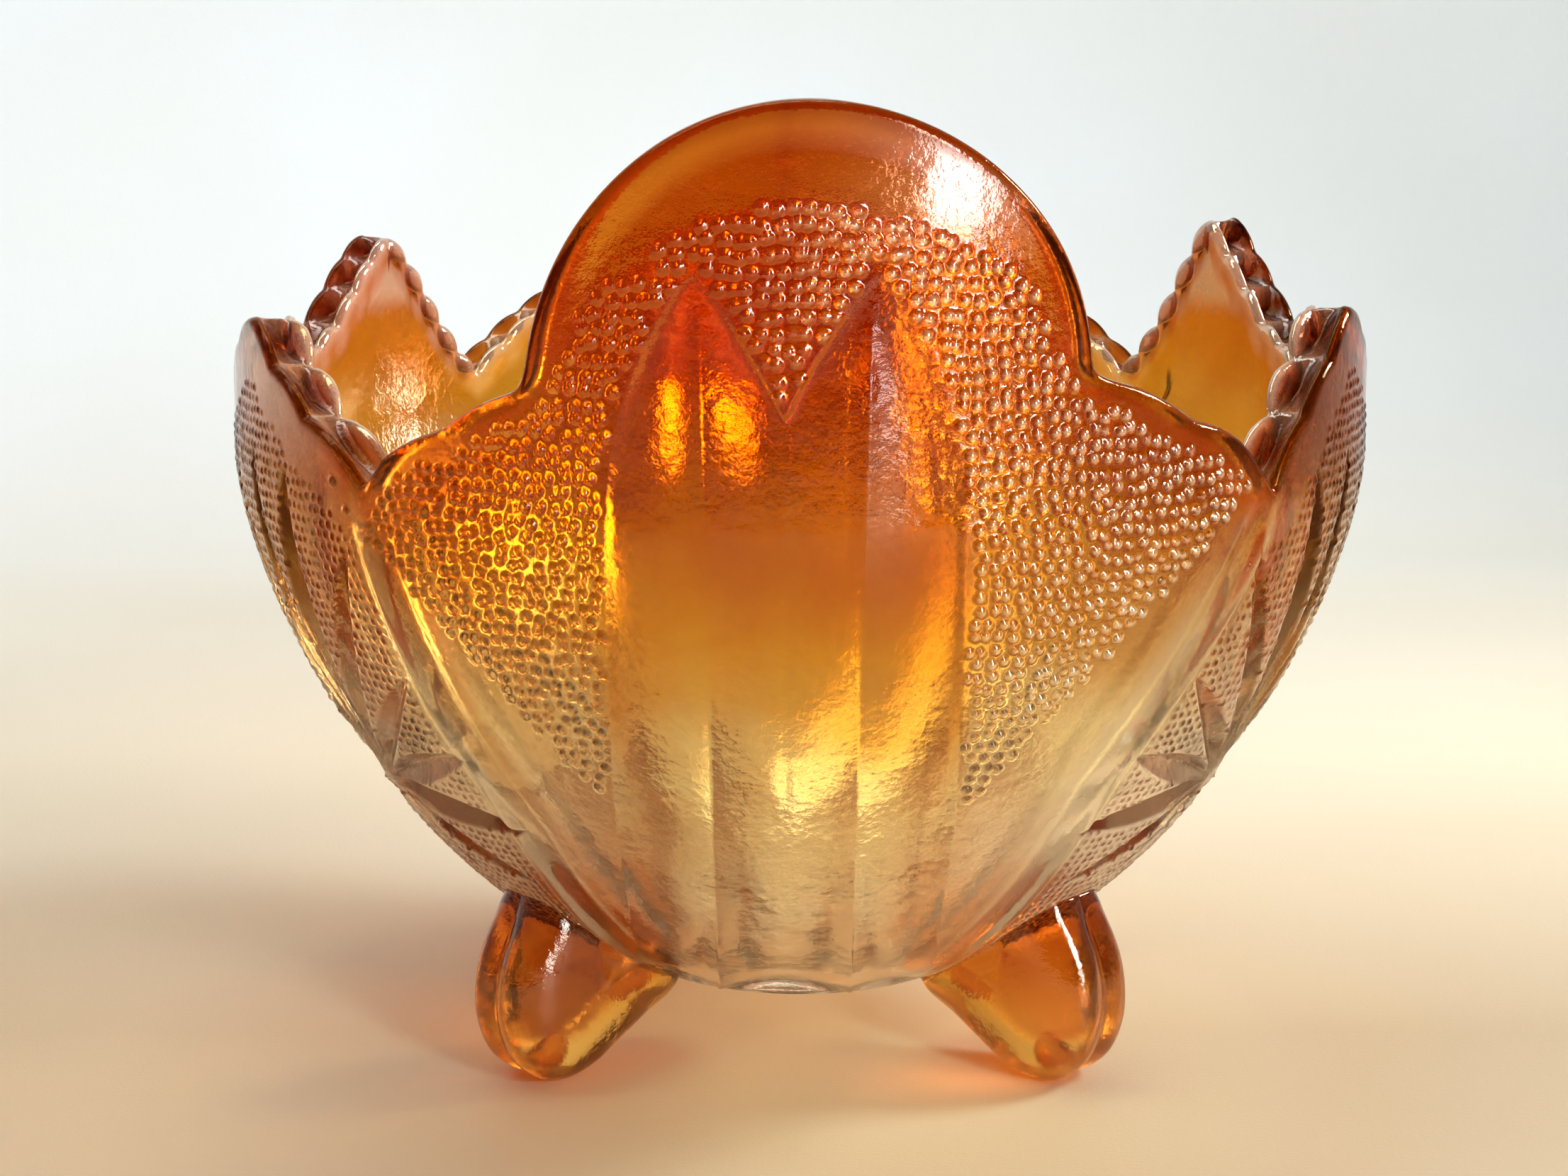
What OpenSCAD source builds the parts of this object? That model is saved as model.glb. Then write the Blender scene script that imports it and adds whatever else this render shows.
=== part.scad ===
// Footed pressed-glass bowl: a deep round bowl with one tall smooth dome at the front,
// scalloped lobes round the rest of the rim, and four solid scroll feet.
// Origin: on the table, on the bowl's axis. +Z up, the dome faces -Y.

/* [Bowl] */
// Radius of the bowl at its rim
rim_r = 75; // [70:0.5:80]
// Thickness of the glass at the rim
wall_t = 6; // [4:0.5:8]
// Thickness of the glass at the bottom
floor_t = 7; // [5:0.5:10]
// Radius of the flat underside
base_r = 23.5; // [20:0.5:27]
// Height of the underside above the table
base_z = 9; // [8:0.5:10]
// Height of the lowest points of the rim
low_z = 82.5; // [78:0.5:88]

/* [Front dome] */
// Height of the dome's top
dome_z = 128; // [120:0.5:132]
// Radius of the dome's arch
dome_arch_r = 32; // [28:0.5:34]
// Half of the angle that the front panel takes up
front_half_a = 45; // [40:1:50]

/* [Other lobes] */
// Angle of the near side lobes' peaks from the front
near_peak_a = 62; // [58:1:66]
// Height of the near side lobes' peaks
near_peak_z = 100; // [95:0.5:106]
// Angle of the far side lobes' peaks from the front
far_peak_a = 120; // [116:1:122]
// Height of the far side lobes' peaks
far_peak_z = 105.5; // [98:0.5:110]
// Height of the dips between the near and far lobes
side_low_z = 84; // [83:0.5:88]
// Height of the back lobe's peak
back_peak_z = 104; // [98:0.5:110]
// How far each small scallop bulges
scallop_h = 0.8; // [0.5:0.1:1.5]

/* [Feet] */
// Angle of the front feet from the front, and of the back feet from the back
foot_a = 50; // [45:1:58]
// Thickness of a foot between its flat sides
foot_w = 15; // [12:0.5:18]
// Radius of the round toe, seen from the side
toe_r = 10; // [9:0.5:11]
// Distance of the toe's centre from the bowl's axis
toe_x = 42; // [40:0.5:44]
// Width of the small flat that a toe rests on
toe_flat = 5.6; // [4:0.2:7]

/* [Hidden] */
$fn = 96;
// Straight steps in each profile curve, and in each small scallop and the dome
curve_steps = 18;
bump_steps = 4;
arch_steps = 24;
// Extra length of a cutting form past what it cuts
over = 20;
glass = [0.85, 0.45, 0.12];
shoulder_z = dome_z - dome_arch_r;
toe_z = sqrt(toe_r * toe_r - toe_flat * toe_flat / 4);
inner_r = rim_r - wall_t;

// One point of a cubic curve with the four control points p
function curve_at(p, t) =
    pow(1 - t, 3) * p[0] + 3 * pow(1 - t, 2) * t * p[1] + 3 * (1 - t) * t * t * p[2] + t * t * t * p[3];
function curve(p) = [for (i = [0:curve_steps]) curve_at(p, i / curve_steps)];

// Points of a round arc from a to b that rises h above the line between them, without point a
function arc(a, b, h, count) =
    let (chord = norm(b - a), r = (chord * chord / 4 + h * h) / (2 * h), along = (b - a) / chord,
         up = [-along[1], along[0]], middle = (a + b) / 2 + (h - r) * up, half = asin(chord / 2 / r))
    [for (i = [1:count]) let (t = half * (2 * i / count - 1)) middle + r * (sin(t) * along + cos(t) * up)];

// Points of a row of count scallops from a to b
function scallops(a, b, count, h) =
    [for (i = [0:count - 1]) each arc(a + (b - a) * i / count, a + (b - a) * (i + 1) / count, h, bump_steps)];

// Control points of the bowl's outer and inner profiles, as radius and height
outer_curve = [[base_r, base_z], [0.8 * rim_r, 25], [rim_r + 0.5, 68], [rim_r, low_z - 1]];
inner_curve = [[base_r - 4, base_z + floor_t], [0.72 * rim_r, 31], [inner_r + 0.5, 70], [inner_r, low_z - 1]];

// The outer form of the bowl, filled solid
module outer_form() {
    rotate_extrude() polygon(concat([[0, base_z]], curve(outer_curve), [[rim_r, dome_z + 1], [0, dome_z + 1]]));
}

// The space inside the bowl
module inner_form() {
    top = dome_z + over;
    rotate_extrude() polygon(concat([[0, base_z + floor_t]], curve(inner_curve), [[inner_r, top], [0, top]]));
}

// A lobe's outline, from the points of its edge, extruded across the wall at an angle from the front.
// It reaches down just past the lowest points of the rim and starts well inside the wall.
module lobe(angle, edge, half_a) {
    start = inner_r * cos(half_a) - 4;
    ends = [edge[len(edge) - 1], edge[0]];
    rotate([0, 0, angle]) translate([0, -start, 0]) rotate([90, 0, 0]) linear_extrude(rim_r + over - start)
        polygon(concat(edge, [for (p = ends) [p[0], low_z - 2]]));
}

// The front panel's edge: a round arch on two shoulders of two long scallops each
module front_lobe() {
    low_u = rim_r * sin(front_half_a + 1);
    notch = [dome_arch_r, shoulder_z];
    edge = concat([[-low_u, low_z]], scallops([-low_u, low_z], [-notch[0], notch[1]], 2, 2 * scallop_h),
                  arc([-notch[0], notch[1]], notch, dome_arch_r - 0.1, arch_steps),
                  scallops(notch, [low_u, low_z], 2, 2 * scallop_h));
    lobe(0, edge, front_half_a + 1);
}

// A side lobe's edge, from its steep side through a small round cap to its gentle side.
// The steep side starts with a long scallop; side is which way the gentle side lies.
module side_lobe(angle, peak_z, steep_a, gentle_a, side) {
    steep_u = -rim_r * sin(steep_a + 1);
    gentle_u = rim_r * sin(gentle_a + 1);
    first = [0.52 * steep_u, low_z + 0.4 * (peak_z - low_z)];
    cap = [-3, peak_z - 2.2];
    edge = concat([[steep_u, low_z]], arc([steep_u, low_z], first, 1.6 * scallop_h, bump_steps),
                  scallops(first, cap, 2, scallop_h), arc(cap, [-cap[0], cap[1]], 2.2, bump_steps + 2),
                  scallops([-cap[0], cap[1]], [gentle_u, side_low_z], 5, scallop_h));
    lobe(angle, [for (p = edge) [side * p[0], p[1]]], gentle_a + 1);
}

// The back lobe's edge: a broad arch with a row of small scallops
module back_lobe() {
    count = 14;
    low_u = rim_r * sin(front_half_a + 1);
    rise = back_peak_z - scallop_h - low_z;
    base = [for (i = [0:count]) let (t = 2 * i / count - 1) [t * low_u, low_z + rise * (1 - t * t)]];
    edge = concat([base[0]], [for (i = [0:count - 1]) each arc(base[i], base[i + 1], scallop_h, bump_steps)]);
    lobe(180, edge, front_half_a + 1);
}

module bowl() {
    color(glass) difference() {
        intersection() {
            outer_form();
            union() {
                cylinder(h = low_z, r = rim_r + over);
                front_lobe();
                back_lobe();
                for (side = [-1, 1]) {
                    side_lobe(side * near_peak_a, near_peak_z, near_peak_a - front_half_a,
                              90 - near_peak_a, side);
                    side_lobe(side * far_peak_a, far_peak_z, 180 - front_half_a - far_peak_a,
                              far_peak_a - 90, -side);
                }
            }
        }
        inner_form();
    }
}

// A foot's outline from the side: a round toe that runs up into the bowl's underside
module foot_side() {
    intersection() {
        union() {
            translate([toe_x, toe_z]) circle(toe_r);
            polygon([[toe_x - 14, base_z + 3], [toe_x - 6.5, toe_z - 7.6], [toe_x, toe_z],
                     [toe_x + 8.8, toe_z + 4.7], [toe_x + 5, base_z + 22], [toe_x - 12, base_z + 22]]);
        }
        square([2 * rim_r, base_z + 21]);
    }
}

// A foot's outline from above: flat sides and a round end
module foot_plan() {
    end_x = toe_x + toe_r - foot_w / 2;
    translate([end_x, 0]) circle(foot_w / 2);
    translate([base_r, -foot_w / 2]) square([end_x - base_r, foot_w]);
}

// A foot at an angle from the front
module foot(angle) {
    color(glass) difference() {
        rotate([0, 0, angle - 90]) intersection() {
            translate([0, foot_w, 0]) rotate([90, 0, 0]) linear_extrude(2 * foot_w) foot_side();
            linear_extrude(2 * base_z + over) foot_plan();
        }
        outer_form();
    }
}

bowl();
foot(-foot_a);  // foot_front_left
foot(foot_a);  // foot_front_right
foot(180 + foot_a);  // foot_back_left
foot(180 - foot_a);  // foot_back_right
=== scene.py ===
import math

import bpy
import numpy as np
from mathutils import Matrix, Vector


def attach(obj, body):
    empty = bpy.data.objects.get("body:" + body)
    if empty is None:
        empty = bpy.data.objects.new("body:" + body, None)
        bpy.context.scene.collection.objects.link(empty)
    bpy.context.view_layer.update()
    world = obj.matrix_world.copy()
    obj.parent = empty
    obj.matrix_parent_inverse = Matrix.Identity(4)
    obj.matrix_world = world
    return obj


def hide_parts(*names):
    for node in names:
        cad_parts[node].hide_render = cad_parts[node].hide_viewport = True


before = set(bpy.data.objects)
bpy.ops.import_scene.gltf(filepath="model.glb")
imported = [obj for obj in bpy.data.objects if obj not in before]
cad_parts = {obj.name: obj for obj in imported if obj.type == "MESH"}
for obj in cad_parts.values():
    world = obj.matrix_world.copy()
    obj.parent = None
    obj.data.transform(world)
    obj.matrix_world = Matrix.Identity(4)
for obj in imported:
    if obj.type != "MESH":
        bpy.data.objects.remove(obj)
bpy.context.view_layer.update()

# Every size below is in mm unless its name says otherwise. The dome faces -Y and +Z is up.
MM = 0.001

# ---------------------------------------------------------------- profiles
RIM_R = 75.0
BASE_R = 23.5
BASE_Z = 9.0
WALL = 6.0
FLOOR = 7.0
FLOOR_R = BASE_R - 4.0
STRAIGHT_Z = 81.5  # above this the wall is upright
TOP_Z = 135.0
OUTER = [(BASE_R, BASE_Z), (60.0, 25.0), (RIM_R + 0.5, 68.0), (RIM_R, STRAIGHT_Z)]
INNER = [(FLOOR_R, BASE_Z + FLOOR), (54.0, 31.0), (RIM_R - WALL + 0.5, 70.0), (RIM_R - WALL, STRAIGHT_Z)]
TURN = 2.0 * math.pi * RIM_R  # once round the rim


def smooth(x, a=0.0, b=1.0):
    t = np.clip((x - a) / (b - a), 0.0, 1.0)
    return t * t * (3.0 - 2.0 * t)


class Profile:
    """A half section of the bowl, walked by its arc length from the middle of the floor."""

    def __init__(self, ctrl):
        t = np.linspace(0.0, 1.0, 500)[:, None]
        p = [np.array(c) for c in ctrl]
        mid = (1 - t) ** 3 * p[0] + 3 * (1 - t) ** 2 * t * p[1] + 3 * (1 - t) * t * t * p[2] + t ** 3 * p[3]
        pts = np.vstack([[0.0, mid[0, 1]], mid, [mid[-1, 0], TOP_Z]])
        step = np.hypot(*np.diff(pts, axis=0).T)
        self.s = np.concatenate([[0.0], np.cumsum(step)])
        self.pts = pts
        self.corner = self.s[1]
        tangent = np.gradient(pts[1:], self.s[1:], axis=0)
        tangent /= np.hypot(tangent[:, 0], tangent[:, 1])[:, None]
        self.tan = np.vstack([tangent[:1], tangent])

    def r(self, s):
        return np.interp(s, self.s, self.pts[:, 0])

    def z(self, s):
        return np.interp(s, self.s, self.pts[:, 1])

    def s_at(self, z):
        return np.interp(z, self.pts[1:, 1], self.s[1:])

    def normal(self, s):
        tr = np.interp(s, self.s, self.tan[:, 0])
        tz = np.interp(s, self.s, self.tan[:, 1])
        return tz, -tr


outer = Profile(OUTER)
inner = Profile(INNER)

# ---------------------------------------------------------------- the rim's outline
# Built in the unrolled wall: u is the angle from the front times RIM_R, z the height.


def bump(a, b, rise, n=14):
    """Points from a to b on a low round bump, without a."""
    a, b = np.array(a, float), np.array(b, float)
    t = np.linspace(0.0, 1.0, n + 1)[1:, None]
    along = b - a
    up = np.array([-along[1], along[0]])
    return a + along * t + up * rise * 4.0 * t * (1.0 - t)


def deg(a):
    return math.radians(a) * RIM_R


def build_outline():
    """Closed outline of the rim: points, the cove depth along it, and where each lobe starts."""
    pts, cove, starts = [], [], []

    def add(new, depth):
        new = np.atleast_2d(new)
        pts.extend(new.tolist())
        n = len(new)
        along = np.sin(np.pi * (np.arange(n) + 1) / n) ** 0.7 if depth else np.zeros(n)
        cove.extend((depth * along).tolist())

    def cusps(points, rise, depth):
        for p in points:
            add(bump(pts[-1], (deg(p[0]), p[1]), rise), depth)

    def row(end, count, rise, depth):
        a = np.array(pts[-1])
        b = np.array((deg(end[0]), end[1]))
        for i in range(count):
            add(bump(a + (b - a) * i / count, a + (b - a) * (i + 1) / count, rise), depth)

    pts.append([deg(-43.8), 82.3])
    cove.append(0.0)
    starts.append(0)
    # front panel: shoulder, dome, shoulder
    cusps([(-41.3, 85.9)], 0.0, 0.0)
    cusps([(-33.8, 90.2), (-25.6, 95.4)], 0.055, 0.25)
    t = np.radians(np.linspace(176.0, 3.0, 90))
    dome_u = 0.6 + 32.3 * np.cos(t) * (1.0 + 0.02 * np.sin(2 * t))
    dome_z = 95.9 + 32.3 * np.sin(t)
    add(np.column_stack([RIM_R * np.arcsin(dome_u / RIM_R), dome_z]), 0.0)
    cusps([(28.2, 96.4)], 0.0, 0.0)
    cusps([(37.5, 90.9), (43.8, 87.9)], 0.055, 0.25)
    cusps([(48.9, 81.3)], 0.03, 0.0)
    starts.append(len(pts) - 1)
    # right near lobe
    cusps([(54.6, 89.4), (60.2, 95.4), (65.5, 101.2)], 0.09, 0.9)
    cusps([(71.8, 97.6)], 0.1, 0.8)
    row((90.0, 84.0), 4, 0.1, 0.8)
    starts.append(len(pts) - 1)
    # right far lobe
    row((109.0, 93.3), 4, 0.1, 0.8)
    cusps([(113.4, 97.9), (117.2, 102.3), (120.9, 107.0)], 0.1, 0.9)
    cusps([(124.2, 101.6), (127.0, 96.0), (129.8, 90.6), (132.8, 86.0), (135.5, 82.8)], 0.1, 0.9)
    starts.append(len(pts) - 1)
    # back lobe
    a, b, n = 135.5, 224.5, 20
    for i in range(1, n + 1):
        f = 2.0 * i / n - 1.0
        cusps([(a + (b - a) * i / n, 103.4 - 20.6 * abs(f) ** 2.2)], 0.1, 0.8)
    starts.append(len(pts) - 1)
    # left far lobe
    steep = ((132.8, 86.2), (129.9, 90.8), (127.2, 95.6), (124.4, 100.4), (120.5, 104.4))
    gentle = ((117.0, 101.4), (113.4, 97.4), (109.0, 93.0))
    cusps([(360 - q, z) for q, z in steep], 0.1, 0.9)
    cusps([(360 - q, z) for q, z in gentle], 0.1, 0.9)
    row((270.0, 84.0), 4, 0.1, 0.8)
    starts.append(len(pts) - 1)
    # left near lobe
    row((360 - 72.4, 96.2), 4, 0.1, 0.8)
    cusps([(360 - 65.8, 99.8)], 0.1, 0.8)
    cusps([(360 - 60.0, 94.6), (360 - 53.1, 89.3), (360 - 43.8, 82.3)], 0.09, 0.9)
    return np.array(pts), np.array(cove), starts


def walk(pts):
    step = np.hypot(*np.diff(pts, axis=0).T)
    return np.concatenate([[0.0], np.cumsum(step)])


def smooth_outline(pts, cove, starts, step=0.15):
    """Resamples the outline evenly and rounds its corners a little."""
    s = walk(pts)
    keys = s[starts]
    total = s[-1]
    n = int(total / step)
    q = np.linspace(0.0, total, n, endpoint=False)
    u, z, c = (np.interp(q, s, a) for a in (pts[:, 0], pts[:, 1], cove))
    # a wider rounding at the front panel's notches than on the small scallops
    wide = smooth(np.abs(u - deg(1.3)), deg(41.5), deg(38.5))
    out = []
    for sigma in (0.3, 1.1):
        half = int(4 * sigma / step)
        k = np.exp(-0.5 * (np.arange(-half, half + 1) * step / sigma) ** 2)
        k /= k.sum()
        uu = np.concatenate([u[-half:] - TURN, u, u[:half] + TURN])
        zz = np.concatenate([z[-half:], z, z[:half]])
        out.append((np.convolve(uu, k, "valid"), np.convolve(zz, k, "valid")))
    u = out[0][0] * (1 - wide) + out[1][0] * wide
    z = out[0][1] * (1 - wide) + out[1][1] * wide
    return q, u, z, c, keys, total


o_pts, o_cove, o_starts = build_outline()
oq, ou, oz, oc, o_keys, o_total = smooth_outline(o_pts, o_cove, o_starts)
du = np.gradient(np.concatenate([[ou[-1] - TURN], ou, [ou[0] + TURN]]))[1:-1]
dz = np.gradient(np.concatenate([[oz[-1]], oz, [oz[0]]]))[1:-1]
dl = np.hypot(du, dz)
onu, onz = -dz / dl, du / dl

# columns: each lobe has its own count, evenly spaced along the rim and evenly in angle at the base
COUNTS = [480, 180, 130, 220, 130, 180]
keys = list(o_keys) + [o_total]
col_q, col_b = [], []
for i, n in enumerate(COUNTS):
    f = np.arange(n) / n
    col_q.append(keys[i] + (keys[i + 1] - keys[i]) * f)
    ua = np.interp(keys[i], oq, ou)
    ub = np.interp(keys[i + 1], np.append(oq, o_total), np.append(ou, ou[0] + TURN))
    col_b.append((ua + (ub - ua) * f) / RIM_R)
col_q = np.concatenate(col_q)
col_b = np.concatenate(col_b)
ext = lambda a, add=0.0: np.append(a, a[0] + add)
eq = np.append(oq, o_total)
cu = np.interp(col_q, eq, ext(ou, TURN))
cz = np.interp(col_q, eq, ext(oz))
cnu = np.interp(col_q, eq, ext(onu))
cnz = np.interp(col_q, eq, ext(onz))
ccove = np.interp(col_q, eq, ext(oc))
NCOL = len(cu)

# ---------------------------------------------------------------- relief on the outside
PITCH = 1.7
STAR_PITCH = 1.45
PANEL_X = -2.0  # the front panel's middle is a little to the left
# the front panel and the back one: where each is, and how much lower the back one's pattern sits
PANELS = ((0.0, 1.0), (math.pi, 1.1))
FRONT_BEADS_A = math.radians(56.0)  # how far from its panel's middle the beads can reach
BACK_BEADS_A = math.radians(42.0)
BACK_PLAIN = 14.0  # extra plain glass below the back lobe's rim
STAR_PLAIN = 7.0  # plain glass below the side lobes' rims


def wrap(a):
    return (a + math.pi) % (2.0 * math.pi) - math.pi


def rnd(*shape_seed):
    """Random numbers of a shape; the last argument is the seed."""
    return np.random.default_rng(shape_seed[-1]).random(shape_seed[:-1])


# the two smooth leaves of the front panel: where their tips are, the depth of the wedge between the
# tips, and how far below the tips they are at their widest
LEAF_TIP_X, LEAF_TIP_Z = 10.4, 109.5
WEDGE_DEEP = 16.5
LEAF_WIDE_Z = 29.0


def on_panel(th, r, z, turn, lift):
    """The angle from a panel's middle, the distance to its side and the height on the front's pattern."""
    t = wrap(th - turn)
    x = r * np.sin(t) - (PANEL_X if turn == 0.0 else 0.0)
    return t, x, z * lift


def leaf_half(z):
    """Half width of the smooth middle panel, from its middle to the leaves' outer edges, at height z."""
    t = np.clip((LEAF_TIP_Z - z) / LEAF_WIDE_Z, 0.0, 1.0)
    top = LEAF_TIP_X + 9.9 * (1.0 - (1.0 - t) ** 1.9) ** 0.85
    low = 20.3 - 1.2 * smooth(z, 48.0, 20.0)
    return np.where(z > LEAF_TIP_Z, 0.0, np.where(t < 1.0, top, low))


def wedge_half(z):
    """Half width of the stippled wedge between the two leaves at height z."""
    t = np.clip((LEAF_TIP_Z - z) / WEDGE_DEEP, 0.0, 1.0)
    return LEAF_TIP_X * (1.0 - t ** 0.8)


def ridge_angle(z, side):
    """Angle of the diagonal border ridge of the front panel."""
    if side < 0:
        a = np.interp(z, [9, 20, 39, 55, 80], [35.2, 35.2, 35.6, 39.9, 43.6])
    else:
        a = np.interp(z, [9, 20, 46, 64, 80.5], [32.0, 32.4, 35.7, 42.4, 48.6])
    return np.radians(a)


# each leaf of a cut star: its direction in degrees from straight up, its length and its half width
STAR_LEAVES = [
    (-2, 48, 2.4), (12, 48, 3.4), (31, 45, 2.2), (50, 34, 2.0), (70, 31, 2.4),
    (92, 30, 2.8), (123, 25, 2.6), (154, 18, 1.7), (-17, 46, 2.6), (-34, 43, 2.2),
    (-52, 35, 2.2), (-71, 30, 2.4), (-92, 28, 2.6), (-123, 24, 2.4), (-154, 18, 1.7)]
STAR_ANGLE = math.radians(64.7)
STAR_S = float(outer.s_at(39.5))
STAR_REACH = 52.0  # no leaf reaches further than this from its star's middle
LEAF_START = 1.5
LEAF_DEEP = 2.4


def star_leaves(th, s, r, centre, flip):
    """The cut star: long pointed leaves, each a groove. Gives its depth, and which face of the groove."""
    p = flip * r * wrap(th - centre)
    q = s - STAR_S
    depth = np.zeros_like(p)
    face = np.zeros_like(p)
    near = (np.abs(p) < STAR_REACH) & (np.abs(q) < STAR_REACH)
    pn, qn = p[near], q[near]
    best = np.zeros_like(pn)
    side = np.zeros_like(pn)
    # the stars of the far side panels are rounder, and fade out below their rims
    soft = 0.6 if abs(centre) > math.pi / 2 else 0.0
    for angle, length, widest in STAR_LEAVES:
        a = math.radians(angle)
        along = pn * math.sin(a) + qn * math.cos(a)
        across = pn * math.cos(a) - qn * math.sin(a)
        f = np.clip((along - LEAF_START) / (length - LEAF_START), 0.0, 1.0)
        half = widest * np.sin(np.pi * f ** 0.85) ** 0.7
        inside = (f > 0) & (f < 1)
        k = np.abs(across) / np.maximum(half, 1e-3)
        v = np.where(inside, np.clip(1.0 - k, 0.0, 1.0), 0.0)
        v = v * (1 - soft) + soft * np.where(inside, np.clip(1.0 - k * k, 0.0, 1.0), 0.0)
        cut = v * np.minimum(half * 0.9, LEAF_DEEP)
        side = np.where(cut > best, np.sign(across), side)
        best = np.maximum(best, cut)
    if soft:
        best = best * (1.0 - 0.95 * smooth(qn, 22.0, 36.0)) * 0.7
    depth[near] = best
    face[near] = side
    return depth, face


def outline_distance(th, z):
    """Distance from points of the wall to the rim's outline, for a few thousand points."""
    u = th * RIM_R
    pu = np.concatenate([ou[::5] - TURN, ou[::5], ou[::5] + TURN])
    pz = np.tile(oz[::5], 3)
    out = np.full(len(u), 1e9)
    for i in range(0, len(u), 2000):
        d = (u[i:i + 2000, None] - pu) ** 2 + (z[i:i + 2000, None] - pz) ** 2
        out[i:i + 2000] = np.sqrt(d.min(1))
    return out


def in_front(th, s):
    """Where the front panel's beads go, from their middles. The back panel is the same, a bit lower."""
    r, z = outer.r(s), outer.z(s)
    rim = outline_distance(th, z)
    ok = np.zeros(len(th), bool)
    for turn, lift in PANELS:
        t, x, zz = on_panel(th, r, z, turn, lift)
        ax = np.abs(x)
        facing = np.abs(t) < (FRONT_BEADS_A if turn == 0.0 else BACK_BEADS_A)
        leaf = (ax < leaf_half(zz) + 0.5) & (ax > wedge_half(zz) - 0.5)
        low = np.interp(ax, [18.5, 20.5, 30.0, 40.0, 51.5, 60.0], [60.0, 44.0, 55.5, 66.5, 78.5, 90.0])
        margin = 3.4 + 2.0 * smooth(z, 96.0, 102.0) + 7.5 * smooth(z, 106.0, 122.0)
        plain_left = (x < -15.0) & (zz > 105.0 + (x + 30.0) * 0.3)
        if turn > 0.0:
            margin = margin + BACK_PLAIN
        ok |= facing & ~leaf & (zz > low) & (rim > margin) & ~plain_left
    return ok


def in_star(th, s):
    """Where the fine dots of the side panels go: inside their borders and clear of the cut leaves."""
    r, z = outer.r(s), outer.z(s)
    rim = outline_distance(th, z)
    a = np.abs(wrap(th))
    a = np.where(a > math.pi / 2, math.pi - a, a)
    side = np.where(wrap(th) < 0, -1, 1)
    ridge = np.where(side < 0, ridge_angle(z, -1), ridge_angle(z, 1))
    ok = (r * (a - ridge) > 3.4) & (rim > STAR_PLAIN) & (z > 15.0)
    cut = np.zeros_like(th)
    for c, flip in star_places():
        cut = np.maximum(cut, star_leaves(th, s, r, c, flip)[0])
    return ok & (cut < 0.05)


def star_places():
    """Where the four stars are, and which way each is mirrored."""
    return [(-STAR_ANGLE, 1), (STAR_ANGLE, -1), (-(math.pi - STAR_ANGLE), -1), (math.pi - STAR_ANGLE, 1)]


class Beads:
    """Rows of small round beads at a steady pitch, kept where the mask says."""

    def __init__(self, pitch, mask, radius, height, jitter, seed, stagger):
        self.pitch, self.radius = pitch, radius
        self.rows = int(outer.s_at(130.0) / pitch) + 2
        s0 = np.arange(self.rows) * pitch
        self.n = np.maximum(np.round(2 * math.pi * outer.r(s0) / pitch).astype(int), 6)
        m = int(self.n.max())
        shape = (self.rows, m)
        j1, j2, j3 = rnd(*shape, seed), rnd(*shape, seed + 1), rnd(*shape, seed + 2)
        cols = np.arange(m)[None, :]
        off = (np.arange(self.rows) % 2 * 0.5)[:, None] if stagger else rnd(self.rows, 1, seed + 3)
        self.th = (cols + off + (j1 - 0.5) * jitter) / self.n[:, None] * 2 * math.pi
        self.s = s0[:, None] + (j2 - 0.5) * jitter * pitch
        self.off = off[:, 0]
        self.h = height * (0.75 + 0.5 * j3)
        valid = cols < self.n[:, None]
        keep = np.zeros(shape, bool)
        keep[valid] = mask(self.th[valid], self.s[valid])
        self.h = np.where(keep, self.h, 0.0)

    def height(self, th, s, r):
        out = np.zeros_like(th)
        t = th % (2 * math.pi)
        k0 = np.round(s / self.pitch).astype(int)
        for dk in (-1, 0, 1):
            k = np.clip(k0 + dk, 0, self.rows - 1)
            n = self.n[k]
            m0 = np.round(t / (2 * math.pi) * n - self.off[k]).astype(int)
            for dm in (-1, 0, 1):
                m = (m0 + dm) % n
                h = self.h[k, m]
                if not h.any():
                    continue
                a = wrap(t - self.th[k, m]) * r
                b = s - self.s[k, m]
                d2 = (a * a + b * b) / self.radius ** 2
                out = np.maximum(out, h * np.clip(1.0 - d2, 0.0, 1.0) ** 0.8)
        return out


front_beads = Beads(PITCH, in_front, radius=0.76, height=0.52, jitter=0.46, seed=11, stagger=False)
star_beads = Beads(STAR_PITCH, in_star, radius=0.6, height=0.2, jitter=0.22, seed=29, stagger=True)


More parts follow.
